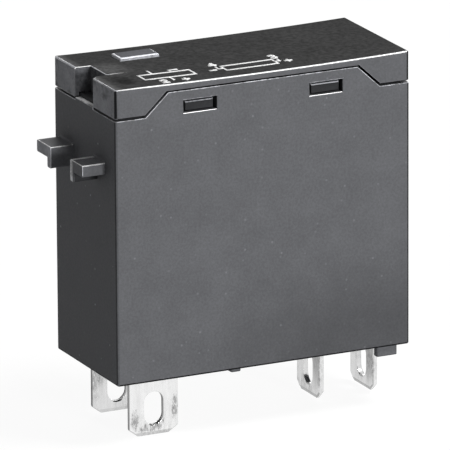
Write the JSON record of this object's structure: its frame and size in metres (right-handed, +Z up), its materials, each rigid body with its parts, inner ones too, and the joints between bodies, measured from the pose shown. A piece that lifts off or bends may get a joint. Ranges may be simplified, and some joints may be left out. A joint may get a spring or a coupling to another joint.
{
  "type": "slim interface relay",
  "caption": "Slim plug-in relay in a flat upright case with a latched lid, an indicator lens, hold-down lugs and slotted plug-in blades; switches by semiconductor.",
  "frame": {"origin": "middle of the case's bottom face, which rests on the socket", "axes": "+Z up from the socket to the lid, -Z the way the blades point, -X towards the hold-down lugs and the input blades, -Y the front long side"},
  "size_m": [0.0313, 0.013, 0.0333],
  "materials": {
    "housing_plastic": "fine moulded grain, dark grey",
    "lens_plastic": "smooth, smoky light guide",
    "tinned_blade": "bright tin plate",
    "board_laminate": "green solder mask",
    "black_resin": "moulded epoxy",
    "tinned_lead": "tinned",
    "insulating_film": "polyimide film",
    "spreader_aluminium": "mill finish",
    "plated_steel": "zinc plated",
    "red_resin": "tinted clear epoxy",
    "resistor_lacquer": "beige lacquer",
    "diode_glass": "amber glass",
    "blue_lacquer": "dipped epoxy",
    "red_box": "moulded box",
    "solder": "tin solder"
  },
  "bodies": {
    "root": {"case": "housing_plastic", "lid": "housing_plastic", "indicator_lens": "lens_plastic", "input_blade_front": "tinned_blade", "input_blade_back": "tinned_blade", "output_blade_inner": "tinned_blade", "output_blade_outer": "tinned_blade", "circuit_board": "board_laminate", "photocoupler": "black_resin", "photocoupler_pins": "tinned_lead", "output_transistor": "black_resin", "transistor_backplate": "tinned_lead", "transistor_leads": "tinned_lead", "insulating_sheet": "insulating_film", "heat_spreader": "spreader_aluminium", "spreader_screw": "plated_steel", "indicator_led": "red_resin", "led_leads": "tinned_lead", "input_resistor": "resistor_lacquer", "input_resistor_leads": "tinned_lead", "reverse_diode": "diode_glass", "reverse_diode_leads": "tinned_lead", "clamp_diode": "black_resin", "clamp_diode_leads": "tinned_lead", "surge_varistor": "blue_lacquer", "varistor_leads": "tinned_lead", "film_capacitor": "red_box", "capacitor_leads": "tinned_lead", "driver_chip": "black_resin", "driver_chip_pins": "tinned_lead", "chip_resistors": "black_resin", "chip_resistor_ends": "tinned_lead", "blade_solder": "solder", "lead_solder": "solder"}
  },
  "joints": []
}
